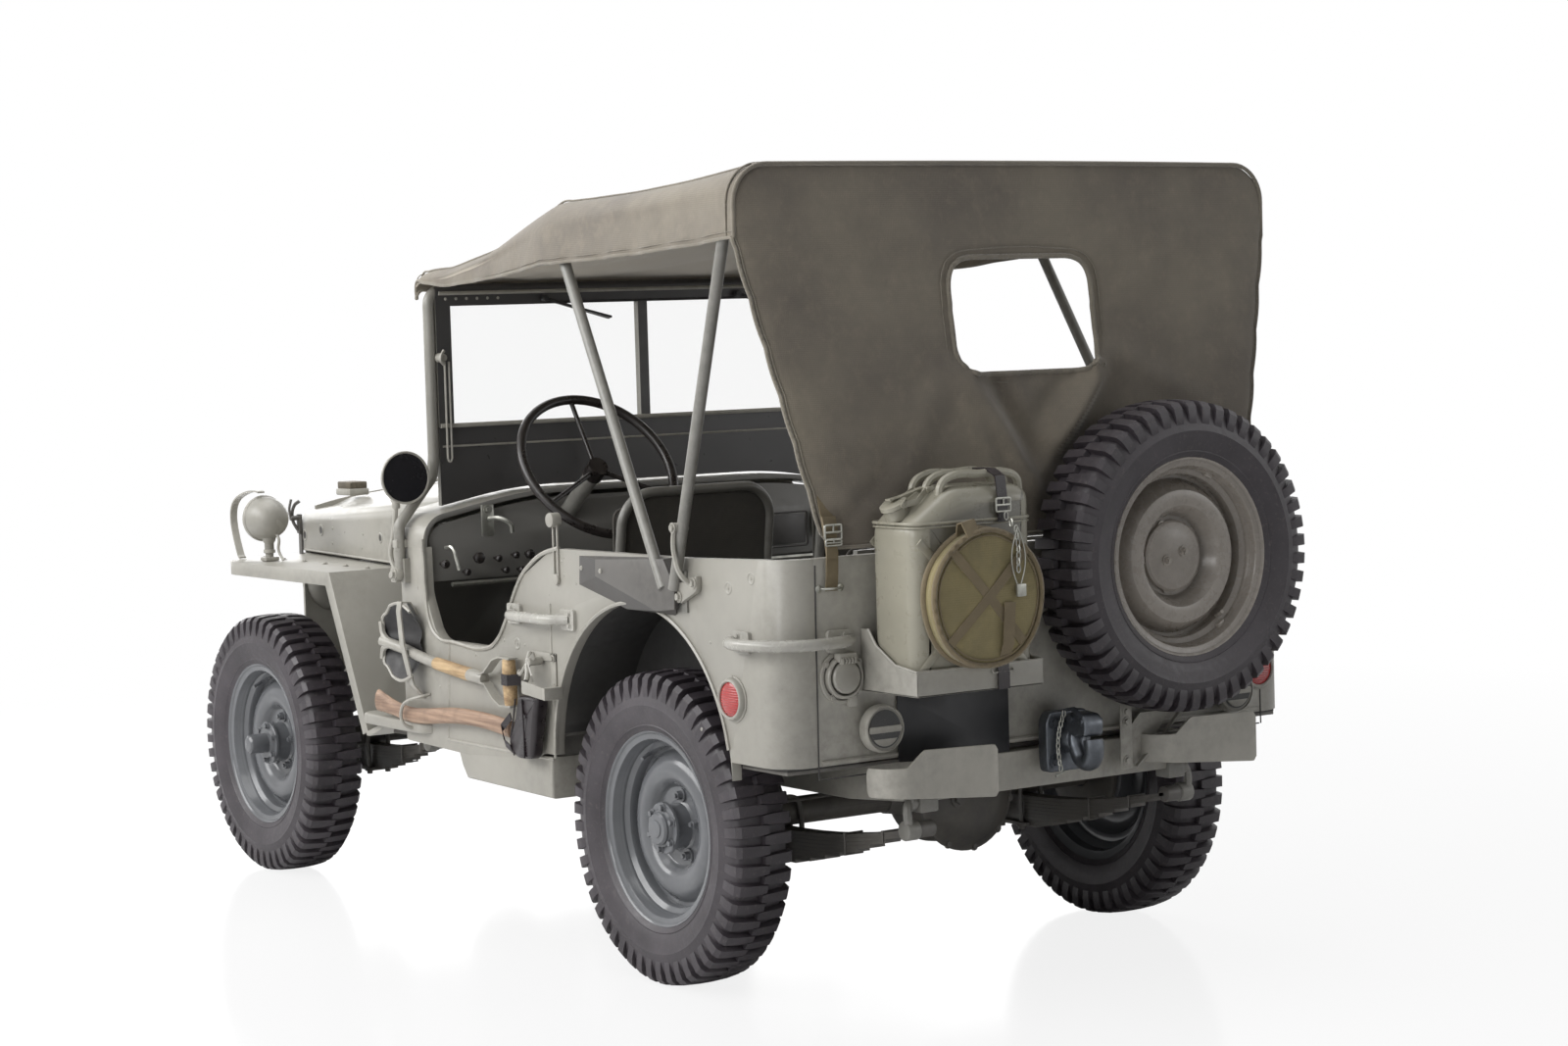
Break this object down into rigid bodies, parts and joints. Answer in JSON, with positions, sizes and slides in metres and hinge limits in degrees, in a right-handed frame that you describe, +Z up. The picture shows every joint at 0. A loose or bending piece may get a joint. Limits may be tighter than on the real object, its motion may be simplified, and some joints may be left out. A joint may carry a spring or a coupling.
{
  "type": "quarter-ton 4x4 open utility car",
  "caption": "Open four-wheel-drive army utility car with a flat slotted nose, folding windscreen, canvas top on bows, spare wheel, fuel can and hand tools.",
  "frame": {"origin": "on the ground, on the centre line, at mid length", "axes": "+X towards the front bumper, +Y to the driver's left, +Z up"},
  "size_m": [3.417, 1.54, 1.806],
  "materials": {
    "bakelite": "dark moulded resin",
    "body_paint": "satin olive-grey paint",
    "canvas": "woven cotton duck",
    "chassis_paint": "dark semi-matt paint",
    "glass": "clear laminated glass",
    "khaki_webbing": "khaki canvas",
    "pad_canvas": "dark canvas over padding",
    "tyre": "moulded rubber",
    "wheel_paint": "satin grey paint",
    "wood": "oiled ash"
  },
  "bodies": {
    "root": {"frame_rails": "chassis_paint", "frame_members": "chassis_paint", "front_bumper": "body_paint", "bumperettes": "body_paint", "pintle_hook": "chassis_paint", "rear_axle": "chassis_paint", "front_axle": "chassis_paint", "leaf_springs": "chassis_paint", "driveline": "chassis_paint", "engine": "chassis_paint", "radiator": "chassis_paint", "exhaust": "chassis_paint", "spare_wheel": "wheel_paint", "spare_tyre": "tyre", "steering_column": "body_paint", "floor": "body_paint", "left_side": "body_paint", "right_side": "body_paint", "rear_panel": "body_paint", "wheel_houses": "body_paint", "cowl": "body_paint", "front_fenders": "body_paint", "grille": "body_paint", "lamps": "body_paint", "windshield_frame": "body_paint", "windshield_glass": "glass", "mirror": "body_paint", "seat_frames": "body_paint", "seat_pads": "pad_canvas", "top_bows": "body_paint", "canopy": "canvas", "jerrycan": "body_paint", "canvas_bucket": "khaki_webbing", "rear_carriers": "body_paint", "grab_handles": "body_paint", "pioneer_tools": "wood"},
    "front_left_road_wheel": {"front_left_wheel": "wheel_paint", "front_left_tyre": "tyre"},
    "front_right_road_wheel": {"front_right_wheel": "wheel_paint", "front_right_tyre": "tyre"},
    "rear_left_road_wheel": {"rear_left_wheel": "wheel_paint", "rear_left_tyre": "tyre"},
    "rear_right_road_wheel": {"rear_right_wheel": "wheel_paint", "rear_right_tyre": "tyre"},
    "left_knuckle": {"left_knuckle": "chassis_paint"},
    "right_knuckle": {"right_knuckle": "chassis_paint"},
    "tie_rod": {"tie_rod": "chassis_paint"},
    "steering_wheel": {"steering_wheel": "bakelite"},
    "hood": {"hood": "body_paint"}
  },
  "joints": [
    {"name": "left_knuckle_steer", "type": "hinge", "parent": "root", "child": "left_knuckle", "pos_m": [1.1185, 0.4925, 0.352], "axis": [0, 0, 1], "range_deg": [-27, 27]},
    {"name": "right_knuckle_steer", "type": "hinge", "parent": "root", "child": "right_knuckle", "pos_m": [1.1185, -0.4925, 0.352], "axis": [0, 0, 1], "range_deg": [-27.5, 27.5]},
    {"name": "tie_rod_slide", "type": "slide", "parent": "root", "child": "tie_rod", "axis": [0, 1, 0], "range_m": [-0.0819, 0.0819]},
    {"name": "steering_wheel_turn", "type": "hinge", "parent": "root", "child": "steering_wheel", "pos_m": [-0.0585, 0.288, 1.12], "axis": [-0.7986, 0, 0.6018], "range_deg": [-383, 383]},
    {"name": "front_left_wheel_spin", "type": "hinge", "parent": "left_knuckle", "child": "front_left_road_wheel", "pos_m": [1.1185, 0.6225, 0.352], "axis": [0, 1, 0], "continuous": true},
    {"name": "front_right_wheel_spin", "type": "hinge", "parent": "right_knuckle", "child": "front_right_road_wheel", "pos_m": [1.1185, -0.6225, 0.352], "axis": [0, 1, 0], "continuous": true},
    {"name": "rear_left_wheel_spin", "type": "hinge", "parent": "root", "child": "rear_left_road_wheel", "pos_m": [-0.9135, 0.6225, 0.352], "axis": [0, 1, 0], "continuous": true},
    {"name": "rear_right_wheel_spin", "type": "hinge", "parent": "root", "child": "rear_right_road_wheel", "pos_m": [-0.9135, -0.6225, 0.352], "axis": [0, 1, 0], "continuous": true},
    {"name": "hood_hinge", "type": "hinge", "parent": "root", "child": "hood", "pos_m": [0.2795, 0, 1.071], "axis": [0, -1, 0], "range_deg": [0, 85]}
  ],
  "couplings": [
    {"joint": "right_knuckle_steer", "follows": "left_knuckle_steer", "ratio": 1},
    {"joint": "tie_rod_slide", "follows": "left_knuckle_steer", "m_per_rad": 0.16956},
    {"joint": "steering_wheel_turn", "follows": "left_knuckle_steer", "ratio": 14}
  ]
}
